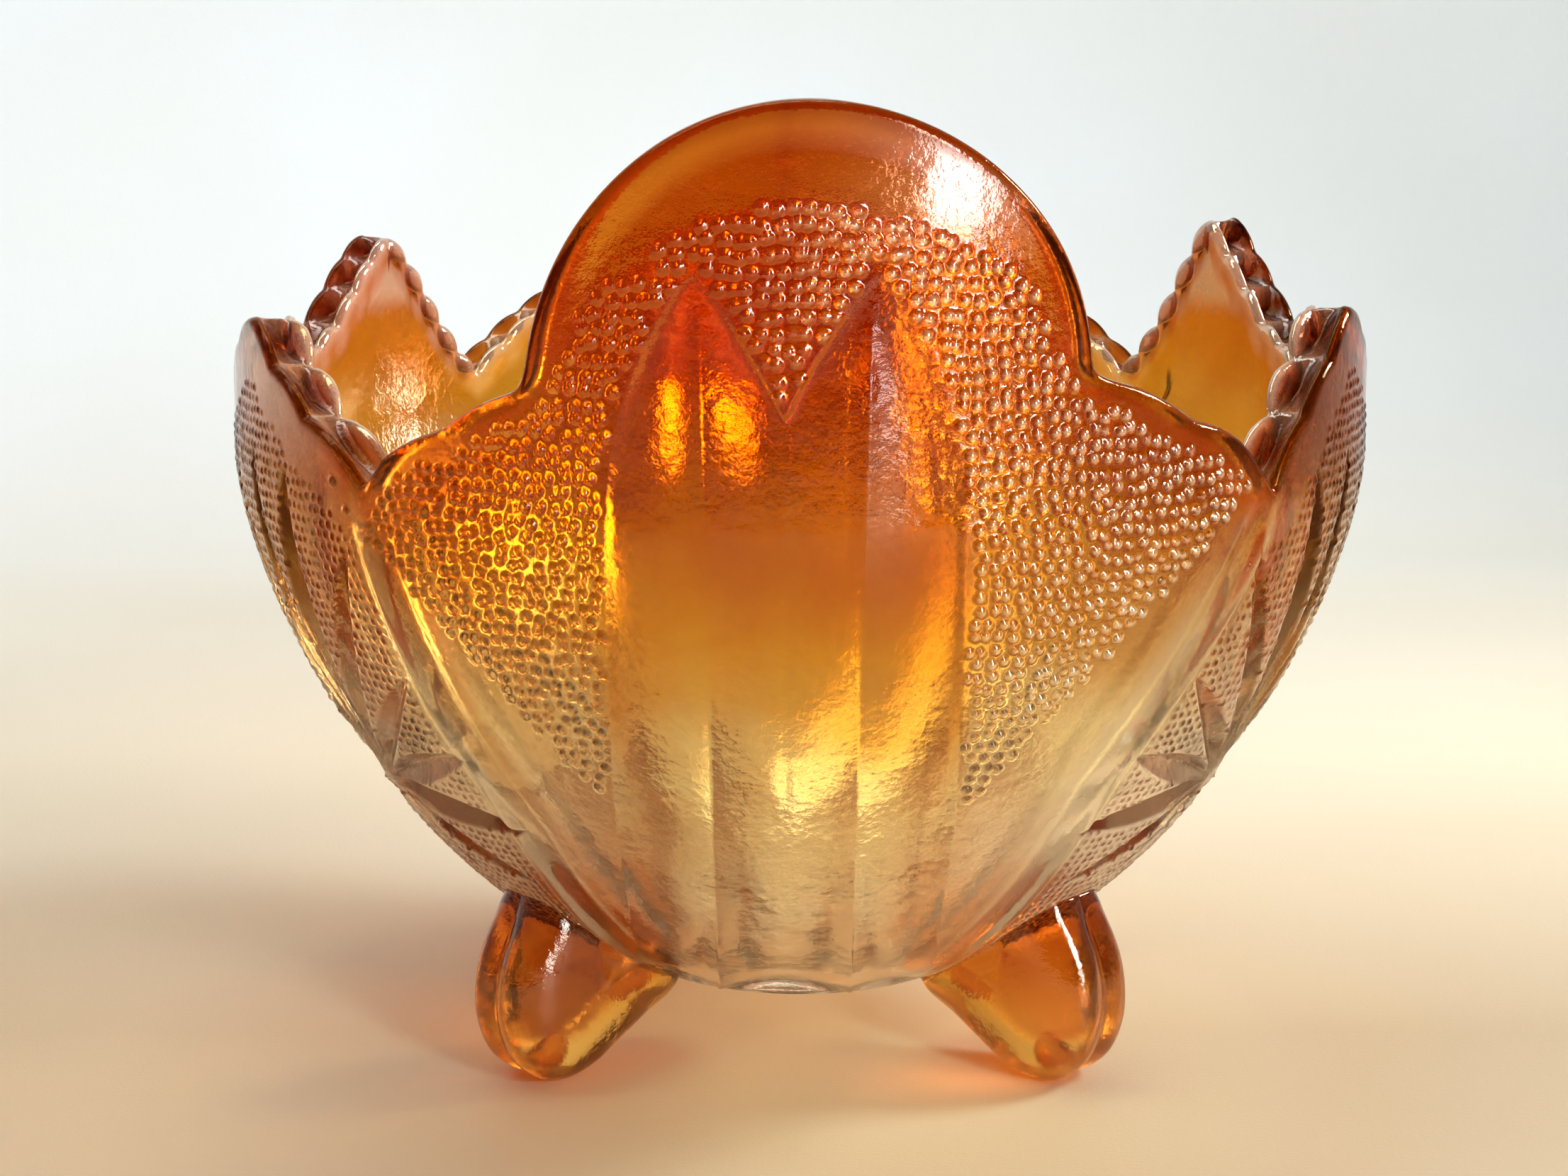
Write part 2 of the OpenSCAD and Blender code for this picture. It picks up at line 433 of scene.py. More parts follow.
def relief(th, s, edge):
    """How far the outside stands out from its plain form, and its beads and dots on their own.

    edge is the distance down from the rim."""
    r, z = outer.r(s), outer.z(s)
    h = np.zeros_like(th)
    for turn, lift in PANELS:
        t, x, zz = on_panel(th, r, z, turn, lift)
        ax = np.abs(x)
        facing = np.abs(t) < math.radians(60.0)
        half = leaf_half(zz)
        wedge = wedge_half(zz)
        crease = np.interp(zz, [9.0, 31.0, 73.0, 109.0], [8.6, 8.4, 8.8, 9.6])
        fade = smooth(zz, 109.0, 97.0)
        mid = np.clip(1.0 - (ax / crease) ** 2, 0.0, 1.0) * (0.25 + crease ** 2 / (2.0 * r)) * 1.15
        c = 0.5 * (crease + half)
        w = np.maximum(0.5 * (half - crease), 0.1)
        out = np.clip(1.0 - ((ax - c) / w) ** 2, 0.0, 1.0) * (0.3 + w * w / (2.0 * r)) * 1.3
        inside = facing & (ax < half) & (ax > wedge)
        step = 0.10 * smooth(half - ax, 0.0, 1.2) * smooth(ax - wedge, 0.0, 1.2)
        h = np.where(inside, -(np.where(ax < crease, mid, out) * fade + step * smooth(zz, 40.0, 50.0)), h)
    for side in (-1, 1):
        for turn in (0.0, math.pi):
            t = wrap(th - turn) * side * (1 if turn == 0.0 else -1)
            d = r * (t - ridge_angle(z, side))
            near = (d > -9.0) & (d < 6.0)
            ridge = 0.75 * np.exp(-(np.abs(d - 1.2) / 1.15) ** 2.4)
            trough = -0.45 * np.exp(-((d + 2.6) / 1.6) ** 2)
            h = h + np.where(near, (ridge + trough) * smooth(z, 12.0, 24.0) * smooth(edge, 2.0, 9.0), 0.0)
    for c, flip in star_places():
        h = h - star_leaves(th, s, r, c, flip)[0]
    fade = smooth(edge, 0.5, 4.0)
    h = h * fade
    round_beads = front_beads.height(th, s, r)
    hidden = smooth(np.abs(wrap(th)), math.radians(90.0), math.radians(94.0))
    dots = star_beads.height(th, s, r) * (1.0 - 0.9 * hidden * smooth(z, 68.0, 80.0))
    return h + round_beads + dots, round_beads, dots


def stains(th, s, round_beads, dots):
    """Where the outside is painted darker or a deeper orange as shade, creamy as painted light, or lustrous
    with painted highlights, and where the smooth leaves are: each 0 to 1.
    """
    r, z = outer.r(s), outer.z(s)
    t = wrap(th)
    a = np.abs(t)
    folded = np.where(a > math.pi / 2, math.pi - a, a)
    ridge = np.where(t < 0, ridge_angle(z, -1), ridge_angle(z, 1))
    dark = np.zeros_like(th)
    # painted shade in the cut leaves' grooves, weaker on one face of each groove and lower down
    for c, flip in star_places():
        depth, face = star_leaves(th, s, r, c, flip)
        strength = np.where(face * flip * np.sign(c) > 0, 0.55, 1.0)
        strength = strength * (0.55 + 0.45 * smooth(z, 30.0, 60.0))
        dark = np.maximum(dark, smooth(depth, 0.02, 0.25) * strength)
    leaf_cut = dark > 0
    # the side panels get an even lustre, with painted light added low on the right and high up on the left
    panel = smooth(r * (folded - ridge), 2.5, 5.0)
    right = smooth(t, -0.2, 0.2)
    pearly = 0.35 * right * smooth(z, 70.0, 45.0) + 0.5 * (1 - right) * smooth(z, 82.0, 94.0)
    pearl = panel * (0.10 + pearly)
    pearl = pearl * (1 - smooth(dark, 0.1, 0.4))
    # the fine dots are painted darker, as shade, and lose most of their lustre
    dark = np.maximum(dark, 0.95 * smooth(dots, 0.03, 0.2) * panel)
    pearl = pearl * (1 - 0.8 * smooth(dots, 0.05, 0.18))
    # painted shade: the front panel's beads are a deeper orange than the ground between them, with painted
    # highlights on their tops at the right
    rim = smooth(round_beads, 0.02, 0.16) * (1.0 - 0.5 * smooth(round_beads, 0.2, 0.5))
    amber = rim * 0.9
    # painted shade: the right near lobe is darkened to a purple-red below its rim, and a warm deeper orange
    # is painted in the trough beside the left border
    plum = smooth(z, 80.0, 94.0) * panel * smooth(t, 0.80, 0.86) * smooth(t, 1.25, 1.1)
    dark = np.maximum(dark, 0.5 * plum)
    d = r * (-t - ridge_angle(z, -1))
    trough = smooth(d, -8.5, -5.5) * smooth(d, 0.0, -1.5) * smooth(z, 30.0, 50.0) * smooth(z, 84.0, 76.0)
    amber = np.maximum(amber, 0.75 * trough)
    crowns = smooth(round_beads, 0.26, 0.44) * smooth(t, -0.12, 0.12) * smooth(z, 50.0, 66.0)
    pearl = np.maximum(pearl, 0.75 * crowns)
    amber = amber * (1 - 0.9 * crowns)
    # a painted highlight: a lustrous glare at the right of the dome's plain band
    glare = np.exp(-((r * np.sin(t) - 15.0) / 10.0) ** 2 - ((z - 118.5) / 4.5) ** 2) * (a < 1.1)
    pearl = np.maximum(pearl, 0.42 * glare)
    # painted light: creamy highlights along the border ridges, and a creamy glow low down beside the right
    # one
    cream = np.zeros_like(th)
    for side in (-1, 1):
        d = r * (t * side - ridge_angle(z, side))
        cream = np.maximum(cream, 0.8 * np.exp(-((d - 1.6) / 1.3) ** 2) * smooth(z, 88.0, 74.0))
        if side > 0:
            band = smooth(d, -10.0, -5.0) * smooth(d, 0.5, -1.5) * smooth(z, 80.0, 62.0)
            cream = np.maximum(cream, 0.8 * band)
    cream = cream * (1 - leaf_cut)
    x = r * np.sin(t) - PANEL_X
    leaf = smooth(leaf_half(z) - np.abs(x), -2.0, 1.0) * (a < 1.1)
    return dark, cream, pearl, amber, leaf


# ---------------------------------------------------------------- the bowl's mesh
def paint(obj, name, rings):
    """Stores a value for each point of a ring mesh; the two end points take none."""
    values = np.append(np.array(rings, np.float32).ravel(), [0.0, 0.0]).astype(np.float32)
    layer = obj.data.attributes.new(name, "FLOAT", "POINT")
    layer.data.foreach_set("value", values)


def ring_mesh(name, rings, bottom, top):
    """A closed mesh from rings of equal length, with a single point at each end."""
    rings = np.array(rings)
    m, n, _ = rings.shape
    verts = np.vstack([rings.reshape(-1, 3), [bottom], [top]])
    i = np.arange(m - 1)[:, None] * n
    j = np.arange(n)[None, :]
    k = (j + 1) % n
    quads = np.stack([i + j, i + k, i + n + k, i + n + j], -1).reshape(-1, 4)
    j, k = j[0], k[0]
    low = np.stack([np.full(n, m * n), k, j], -1)
    high = np.stack([np.full(n, m * n + 1), (m - 1) * n + j, (m - 1) * n + k], -1)
    return mesh_object(name, verts, *outward(verts, quads, np.vstack([low, high])))


def outward(verts, quads, tris):
    """Turns every face round if the closed mesh is inside out."""
    v = np.asarray(verts)
    faces = np.vstack([quads[:, :3], quads[:, [0, 2, 3]], tris])
    a, b, c = (v[faces[:, k]] for k in range(3))
    if np.einsum("ij,ij->i", a, np.cross(b, c)).sum() < 0:
        return quads[:, ::-1], tris[:, ::-1]
    return quads, tris


def mesh_object(name, verts, quads, tris):
    me = bpy.data.meshes.new(name)
    me.vertices.add(len(verts))
    me.vertices.foreach_set("co", (np.asarray(verts, np.float64) * MM).astype(np.float32).ravel())
    loops = np.concatenate([quads.ravel(), tris.ravel()]).astype(np.int32)
    me.loops.add(len(loops))
    me.loops.foreach_set("vertex_index", loops)
    me.polygons.add(len(quads) + len(tris))
    starts = np.concatenate([np.arange(len(quads)) * 4, len(quads) * 4 + np.arange(len(tris)) * 3])
    me.polygons.foreach_set("loop_start", starts.astype(np.int32))
    me.update(calc_edges=True)
    me.polygons.foreach_set("use_smooth", np.ones(len(me.polygons), bool))
    me.validate()
    obj = bpy.data.objects.new(name, me)
    bpy.context.scene.collection.objects.link(obj)
    return obj


def place(th, r, z):
    """Points at an angle from the front, a radius and a height."""
    return np.stack([r * np.sin(th), -r * np.cos(th), z], -1)


def uncrossed(u):
    """The same positions round the rim, kept in order where they would cross over at a sharp peak."""
    u = 0.5 * (np.maximum.accumulate(u) + np.minimum.accumulate(u[::-1])[::-1])
    return 0.97 * u + 0.03 * (u[0] + col_b * RIM_R - col_b[0] * RIM_R)


ROWS_OUT = 400
ROWS_IN = 70
RIM_OUT = 1.1  # radius of the rim's outer corner
RIM_IN = 3.9  # how far below the outline the inside begins
BASE_DISH = 1.0  # how far the underside and the floor curve in at their middles
FLOOR_DISH = 0.6
# the values painted on the bowl: painted shade, painted light, lustre with painted highlights, deeper
# orange shade, the smooth leaves and the inside
COATS = ("dark", "cream", "pearl", "amber", "leaf", "inside")
# The rim's section from outside to inside: depth into the wall, its growth in a cove, height above the
# outline, its growth in a cove, darkness as painted shade, and lustre with a painted highlight
RIM_SECTION = [
    (1.5, 0.0, -0.10, -0.30, 0.8, 0.0), (2.0, 0.0, -0.12, -1.20, 0.9, 0.0),
    (2.7, 0.0, -0.12, -1.90, 1.0, 0.0), (3.4, 0.0, -0.12, -2.20, 1.0, 0.0),
    (4.1, 0.0, -0.12, -2.00, 1.0, 0.0), (4.6, 0.2, -0.12, -1.20, 0.9, 0.1),
    (4.85, 0.35, -0.10, -0.30, 0.5, 0.5), (5.05, 0.45, -0.08, 0.25, 0.1, 0.9),
    (5.35, 0.60, -0.15, 0.45, 0.0, 1.0), (5.70, 0.75, -0.35, 0.35, 0.0, 1.0),
    (5.92, 0.85, -0.80, 0.0, 0.0, 0.9), (6.0, 0.80, -1.40, 0.0, 0.0, 0.6),
    (6.0, 0.45, -2.30, 0.0, 0.0, 0.3), (6.0, 0.15, -3.10, 0.0, 0.0, 0.1)]


def build_bowl():
    """The whole bowl as one closed mesh, ring by ring: underside, outside, rim, inside and floor."""
    none = np.zeros(NCOL)
    rings = []
    coats = {key: [] for key in COATS}

    def ring(points, **values):
        rings.append(points)
        for key, rows in coats.items():
            rows.append(values.get(key, none))

    # underside, slightly dished
    for f in (0.15, 0.4, 0.65, 0.85, 0.95):
        r = np.full(NCOL, BASE_R * f)
        ring(place(col_b, r, np.full(NCOL, BASE_Z + BASE_DISH * (1 - f * f))))
    # outside, from the base corner to just below the rim
    eu, ez = cu - cnu * RIM_OUT, cz - cnz * RIM_OUT
    eu = uncrossed(eu)
    length = outer.s_at(ez)
    t = (np.linspace(0.0, 1.0, ROWS_OUT) ** 0.9)[:, None]
    s = outer.corner + t * (length - outer.corner)[None, :]
    w = smooth(t)
    th = col_b[None, :] * (1 - w) + (eu / RIM_R)[None, :] * w
    edge = length[None, :] - s
    h, round_beads, dots = relief(th, s, edge)
    nr, nz = outer.normal(s)
    corner = smooth(s - outer.corner, 0.0, 1.5)
    r = outer.r(s) + nr * h * corner - 0.5 * (1 - corner)
    z = outer.z(s) + nz * h * corner + 0.15 * (1 - corner)
    dark, cream, pearl, amber, leaf = stains(th, s, round_beads, dots)
    # painted shade just below the rim's edge
    dark = np.maximum(dark, 0.6 * smooth(edge, 1.8, 0.0))
    for xyz, d, c, p, m, l in zip(place(th, r, z), dark, cream, pearl, amber, leaf):
        ring(xyz, dark=d, cream=c, pearl=p, amber=m, leaf=l)
    # across the rim: a round outer corner, a cove in each scallop, and a raised inner lip
    far = smooth(np.abs(wrap(cu / RIM_R)), math.radians(43.0), math.radians(50.0))
    b = ccove / 0.9

    def across(depth, d, **values):
        u, zz = cu + cnu * d, cz + cnz * d
        rr = outer.r(outer.s_at(zz)) - depth
        ring(place(u / RIM_R, rr, zz), **values)

    # painted shade on the rim's round outer corner
    shade = np.full(NCOL, 0.75)
    for a in np.radians([30, 60, 90]):
        across(np.full(NCOL, RIM_OUT * (1 - math.cos(a))), -RIM_OUT * (1 - math.sin(a)), dark=shade)
    back = smooth(np.abs(wrap(cu / RIM_R)), math.radians(88.0), math.radians(96.0))
    pinch = -0.55 * (1 - b) * far * (1 - 0.6 * back)
    bulge = b * (1 - 0.55 * back)
    # painted shade in the coves and on the front panel's outer rim, painted highlights on the inner lip and
    # the cusps, and creamy painted light on the front panel's inner rim
    for depth, wider, height, deeper, shade, light in RIM_SECTION:
        lipped = min(max((depth - 4.0) / 1.0, 0.0), 1.0)
        across(depth + wider * bulge, height + deeper * (b if deeper < 0 else bulge)
               + pinch * lipped * (1.0 if height > -2.0 else 0.4),
               dark=shade * (0.25 + 0.75 * b) * far + 0.45 * (1 - far) * (depth < 4.0),
               pearl=np.maximum(light * far, 0.55 * (1 - b) * far) * 0.9,
               cream=0.35 * (1 - far) * (depth > 3.0))
    # inside
    iu, iz = cu - cnu * RIM_IN, cz - cnz * RIM_IN
    iu = uncrossed(iu)
    length = inner.s_at(iz)
    t = np.linspace(1.0, 0.0, ROWS_IN)[1:, None]
    s = inner.corner + t * (length - inner.corner)[None, :]
    w = smooth(t)
    th = col_b[None, :] * (1 - w) + (iu / RIM_R)[None, :] * w
    wave = 0.10 * np.sin(th * 9 + 1.3) * np.sin(s * 0.13) + 0.05 * np.sin(th * 23 + s * 0.21)
    wave = wave * smooth(inner.z(s), 20.0, 40.0) * smooth(length[None, :] - s, 0.0, 6.0)
    nr, nz = inner.normal(s)
    zi = inner.z(s)
    a = np.abs(wrap(th))
    # painted reflection: a creamy patch high inside the far and back lobes
    cream = 0.85 * smooth(zi, 93.5, 96.5) * smooth(a, math.radians(98.0), math.radians(106.0))
    x = inner.r(s) * np.sin(wrap(th)) - PANEL_X
    leaf = smooth(leaf_half(zi) - np.abs(x), -4.0, 1.0) * (a < 1.1)
    ones = np.ones(NCOL)
    for xyz, c, l in zip(place(th, inner.r(s) + nr * wave, zi + nz * wave), cream, leaf):
        ring(xyz, cream=c, leaf=l, inside=ones)
    for f in (0.85, 0.6, 0.35, 0.12):
        r = np.full(NCOL, FLOOR_R * f)
        ring(place(col_b, r, np.full(NCOL, BASE_Z + FLOOR - FLOOR_DISH * (1 - f * f))), inside=ones)
    under = (0.0, 0.0, BASE_Z + BASE_DISH)
    middle = (0.0, 0.0, BASE_Z + FLOOR - FLOOR_DISH)
    obj = ring_mesh("bowl_glass", rings, under, middle)
    for key, rows in coats.items():
        paint(obj, key, rows)
    return obj


# ---------------------------------------------------------------- feet
FOOT_A = 50.0  # angle of the front feet from the front, and of the back feet from the back
FOOT_HALF = 7.6  # half of a foot's thickness
FOOT_CENTRE = np.array([40.5, 12.0])
FOOT_GROOVE = 1.2
FOOT_SINK = 0.9  # how far a foot's neck reaches into the bowl's wall


def foot_outline(n):
    """The foot seen from its side, as points round the toe and up the neck: x outward, z up."""
    keys = [
        (26.0, 26.0), (22.0, 16.0), (24.0, 9.8), (29.5, 6.6), (34.5, 3.6),
        (39.0, 1.0), (43.0, 0.0), (47.0, 0.9), (50.4, 3.9), (52.2, 8.6),
        (52.3, 13.4), (51.2, 18.0), (48.8, 22.6), (45.0, 28.0), (36.0, 34.0)]
    p = np.array(keys + keys[:1], float)
    # closed smooth curve through the keys
    m = len(keys)
    out = []
    for i in range(m):
        a, b, c, d = (p[(i + k - 1) % m] for k in range(4))
        for t in np.linspace(0, 1, max(n // m, 2), endpoint=False):
            out.append(0.5 * ((2 * b) + (-a + c) * t + (2 * a - 5 * b + 4 * c - d) * t * t
                              + (-a + 3 * b - 3 * c + d) * t ** 3))
    return np.array(out)


def build_foot(name, angle):
    """One foot: its side outline in slices from one flat side to the other, smaller towards the sides."""
    prof = foot_outline(150)
    n = len(prof)
    slices = 61
    rings = []
    out_dir = prof - FOOT_CENTRE
    reach = np.hypot(out_dir[:, 0], out_dir[:, 1])[:, None]
    ang = np.arctan2(out_dir[:, 1], out_dir[:, 0])
    # the outer face, from the bowl down to the toe, has two round lobes with a groove between
    face = smooth(np.cos(ang + 0.25), 0.0, 0.6)
    for i in range(1, slices - 1):
        v = -math.cos(math.pi * i / (slices - 1))
        f = (1.0 - abs(v) ** 2.8) ** 0.5
        lobe = math.sin(math.pi * abs(v)) ** 0.8
        p = FOOT_CENTRE + out_dir * (0.38 + 0.62 * f)
        p = p - out_dir / reach * (FOOT_GROOVE * (1.0 - lobe) * face)[:, None]
        rings.append(np.column_stack([p[:, 0], np.full(n, v * FOOT_HALF), p[:, 1]]))
    rings = np.array(rings)
    # keep the neck just inside the bowl's wall: push what is deeper back out to the wall
    rr = np.hypot(rings[..., 0], rings[..., 1])
    limit = np.interp(rr, outer.pts[1:-1, 0], outer.pts[1:-1, 1]) + FOOT_SINK
    over = rings[..., 2] - limit
    rings[..., 2] = np.where(over > 0, limit + 0.02 * over, rings[..., 2])
    rings[..., 2] -= rings[..., 2].min()
    a = math.radians(angle)
    x, y, z = rings[..., 0], rings[..., 1], rings[..., 2]
    wx = x * math.sin(a) + y * math.cos(a)
    wy = -x * math.cos(a) + y * math.sin(a)
    world = np.stack([wx, wy, z], -1)
    return ring_mesh(name, world, world[0].mean(0), world[-1].mean(0))


# ---------------------------------------------------------------- materials
class Nodes:
    """A material's node tree, with short ways to add the nodes used here."""

    def __init__(self, name):
        self.mat = bpy.data.materials.new(name)
        self.mat.use_nodes = True
        self.tree = self.mat.node_tree
        self.tree.nodes.clear()
        self.out = self.add("ShaderNodeOutputMaterial")
        self.coord = self.add("ShaderNodeTexCoord").outputs["Object"]

    def add(self, kind, **props):
        node = self.tree.nodes.new(kind)
        for k, v in props.items():
            setattr(node, k, v)
        return node

    def link(self, a, b):
        self.tree.links.new(a, b)

    def noise(self, scale, detail=2.0, rough=0.5, distort=0.0, coord=None):
        n = self.add("ShaderNodeTexNoise")
        n.inputs["Scale"].default_value = scale
        n.inputs["Detail"].default_value = detail
        n.inputs["Roughness"].default_value = rough
        n.inputs["Distortion"].default_value = distort
        self.link(coord or self.coord, n.inputs["Vector"])
        return n.outputs["Fac"]

    def value(self, name):
        return self.add("ShaderNodeAttribute", attribute_name=name).outputs["Fac"]

    def range(self, value, a, b, c=0.0, d=1.0):
        n = self.add("ShaderNodeMapRange")
        for key, v in (("From Min", a), ("From Max", b), ("To Min", c), ("To Max", d)):
            n.inputs[key].default_value = v
        self.link(value, n.inputs["Value"])
        return n.outputs["Result"]

    def math(self, op, a, b):
        n = self.add("ShaderNodeMath", operation=op)
        for i, v in enumerate((a, b)):
            if isinstance(v, (int, float)):
                n.inputs[i].default_value = v
            else:
                self.link(v, n.inputs[i])
        return n.outputs[0]

    def ramp(self, value, stops):
        n = self.add("ShaderNodeValToRGB")
        e = n.color_ramp.elements
        while len(e) < len(stops):
            e.new(0.5)
        for el, (pos, col) in zip(e, stops):
            el.position = pos
            el.color = (*col, 1.0)
        self.link(value, n.inputs["Fac"])
        return n.outputs["Color"]

    def mix(self, fac, a, b, mode="MIX"):
        n = self.add("ShaderNodeMix", data_type="RGBA", blend_type=mode)
        for key, v in ((0, fac), (6, a), (7, b)):
            if isinstance(v, (int, float)):
                n.inputs[key].default_value = v
            elif isinstance(v, tuple):
                n.inputs[key].default_value = (*v, 1.0)
            else:
                self.link(v, n.inputs[key])
        return n.outputs[2]


def glass_material(name, stops, z_range, rough, painted):
    """Lustred pressed glass: the tint deepens with height, and painted parts are darker, creamier or
    pearlier, as painted shade, painted light and painted highlights.
    """
    n = Nodes(name)
    xyz = n.add("ShaderNodeSeparateXYZ")
    n.link(n.coord, xyz.inputs[0])
    height = n.range(xyz.outputs["Z"], z_range[0], z_range[1])
    height = n.math("ADD", height, n.range(n.noise(38.0, 2.0), 0.3, 0.7, -0.04, 0.04))
    if painted:
        height = n.math("SUBTRACT", height, n.range(n.value("leaf"), 0.0, 1.0, 0.07, -0.03))
    tint = n.ramp(height, stops)
    cloudy = n.range(n.noise(85.0, 3.0, 0.6, 0.6), 0.45, 0.75, 0.0, 0.3)
    cloudy = n.math("MULTIPLY", cloudy, n.range(height, 0.3, 0.55, 0.25, 1.0))
    tint = n.mix(cloudy, tint, (0.66, 0.18, 0.02), "MULTIPLY")
    shader = n.add("ShaderNodeBsdfPrincipled")
    graze = n.add("ShaderNodeLayerWeight")
    graze.inputs["Blend"].default_value = 0.35
    tint = n.mix(n.math("MULTIPLY", graze.outputs["Facing"], 0.5), tint, (0.55, 0.30, 0.20), "MULTIPLY")
    solid = n.range(xyz.outputs["Z"], 0.028, 0.062, 0.03, 0.0)
    if painted:
        # painted shade (deeper orange and darker), creamy painted light and painted highlights go into the
        # tint; the creamy and highlighted parts are also a little milky
        tint = n.mix(n.value("amber"), tint, (0.86, 0.52, 0.18), "MULTIPLY")
        tint = n.mix(n.value("dark"), tint, (0.26, 0.035, 0.012), "MULTIPLY")
        tint = n.mix(n.math("MULTIPLY", n.value("cream"), 0.85), tint, (1.0, 0.90, 0.66))
        tint = n.mix(n.math("MULTIPLY", n.value("pearl"), 0.85), tint, (0.96, 0.74, 0.60))
        solid = n.math("ADD", solid, n.math("MULTIPLY", n.value("cream"), 0.12))
        solid = n.math("ADD", solid, n.math("MULTIPLY", n.value("pearl"), 0.4))
        n.link(n.math("SUBTRACT", 1.0, solid), shader.inputs["Transmission Weight"])
    else:
        shader.inputs["Transmission Weight"].default_value = 1.0
    n.link(tint, shader.inputs["Base Color"])
    shader.inputs["IOR"].default_value = 1.5
    film = n.range(n.noise(24.0, 2.0, 0.5, 0.4), 0.3, 0.7, 72.0, 112.0)
    if painted:
        film = n.math("SUBTRACT", film, n.math("MULTIPLY", n.value("inside"), 22.0))
        lustre = n.range(n.value("inside"), 0.0, 1.0, 1.5, 2.3)
        # the film reflects less where shade is painted and more where highlights are painted
        lustre = n.math("SUBTRACT", lustre, n.math("MULTIPLY", n.value("dark"), 0.24))
        lustre = n.math("ADD", lustre, n.math("MULTIPLY", n.value("pearl"), 0.6))
        n.link(lustre, shader.inputs["Thin Film IOR"])
    else:
        shader.inputs["Thin Film IOR"].default_value = 1.6
    n.link(film, shader.inputs["Thin Film Thickness"])
    satin = n.range(xyz.outputs["Z"], 0.030, 0.065, 1.5, 1.0) if painted else 1.0
    gloss = n.range(n.noise(120.0, 3.0), 0.3, 0.7, rough * 0.6, rough * 1.5)
    gloss = n.math("MULTIPLY", gloss, satin)
    if painted:
        gloss = n.math("ADD", gloss, n.math("MULTIPLY", n.value("cream"), 0.25))
    n.link(gloss, shader.inputs["Roughness"])
    ripple = n.add("ShaderNodeBump")
    ripple.inputs["Strength"].default_value = 0.4
    ripple.inputs["Distance"].default_value = 0.0006
    grain = n.math("MULTIPLY", n.noise(900.0, 3.0, 0.6), 0.3)
    n.link(n.math("ADD", grain, n.noise(130.0, 2.0, 0.5)), ripple.inputs["Height"])
    n.link(ripple.outputs["Normal"], shader.inputs["Normal"])
    clear = n.add("ShaderNodeBsdfTransparent")
    n.link(n.mix(1.0, tint, (0.80, 0.78, 0.76), "MULTIPLY"), clear.inputs["Color"])
    path = n.add("ShaderNodeLightPath")
    mixer = n.add("ShaderNodeMixShader")
    n.link(path.outputs["Is Shadow Ray"], mixer.inputs["Fac"])
    n.link(shader.outputs[0], mixer.inputs[1])
    n.link(clear.outputs[0], mixer.inputs[2])
    n.link(mixer.outputs[0], n.out.inputs["Surface"])
    return n.mat


bowl_stops = [(0.0, (0.96, 0.84, 0.62)), (0.165, (1.0, 0.96, 0.76)), (0.34, (1.0, 0.88, 0.50)),
              (0.43, (0.86, 0.48, 0.09)), (0.51, (0.84, 0.36, 0.02)), (0.60, (0.73, 0.20, 0.003)),
              (0.81, (0.68, 0.13, 0.001)), (1.0, (0.54, 0.07, 0.001))]
bowl_mat = glass_material("marigold_glass", bowl_stops, (0.010, 0.125), 0.05, True)
# The feet's tint is darkest high on the foot, a painted shade, and paler again at the top.
foot_stops = [
    (0.0, (0.88, 0.50, 0.12)), (0.4, (0.74, 0.28, 0.03)),
    (0.75, (0.52, 0.13, 0.01)), (1.0, (0.70, 0.34, 0.10))]
foot_mat = glass_material("marigold_foot", foot_stops, (0.0, 0.03), 0.03, False)


def cloth_material():
    """Pale satin: warm beige in front, with a painted shadow under the bowl, paler towards the back and
    cool white up the backdrop.
    """
    n = Nodes("satin_cloth")
    xyz = n.add("ShaderNodeSeparateXYZ")
    n.link(n.coord, xyz.inputs[0])
    depth = n.range(xyz.outputs["Y"], -0.30, 0.50)
    # the darkest stop, near the bowl, is a painted shadow
    base = n.ramp(depth, [
        (0.0, (0.80, 0.70, 0.53)), (0.36, (0.46, 0.38, 0.27)), (0.55, (0.72, 0.64, 0.50)),
        (0.72, (0.76, 0.72, 0.63)), (0.9, (0.86, 0.90, 0.92)), (1.0, (0.88, 0.93, 0.96))])
    soft = n.noise(9.0, 2.0)
    base = n.mix(n.range(soft, 0.35, 0.65, 0.0, 0.18), base, (0.88, 0.80, 0.68), "MULTIPLY")
    shader = n.add("ShaderNodeBsdfPrincipled")
    n.link(base, shader.inputs["Base Color"])
    shader.inputs["Roughness"].default_value = 0.55
    shader.inputs["Specular IOR Level"].default_value = 0.35
    weave = n.noise(1800.0, 2.0)
    b = n.add("ShaderNodeBump")
    b.inputs["Strength"].default_value = 0.08
    b.inputs["Distance"].default_value = 0.0005
    n.link(weave, b.inputs["Height"])
    n.link(b.outputs["Normal"], shader.inputs["Normal"])
    # clear from its other side, so that the bowl can be looked at from behind and from below
    mixer = n.add("ShaderNodeMixShader")
    n.link(n.add("ShaderNodeNewGeometry").outputs["Backfacing"], mixer.inputs["Fac"])
    n.link(shader.outputs[0], mixer.inputs[1])
    n.link(n.add("ShaderNodeBsdfTransparent").outputs[0], mixer.inputs[2])
    n.link(mixer.outputs[0], n.out.inputs["Surface"])
    return n.mat


# ---------------------------------------------------------------- build
bowl = build_bowl()
bowl.data.materials.append(bowl_mat)
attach(bowl, "root")
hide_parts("bowl")
for name, angle in (("front_left", -FOOT_A), ("front_right", FOOT_A), ("back_left", 180 + FOOT_A),
                    ("back_right", 180 - FOOT_A)):
    foot = build_foot("foot_glass_" + name, angle)
    foot.data.materials.append(foot_mat)
    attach(foot, "root")
    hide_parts("foot_" + name)

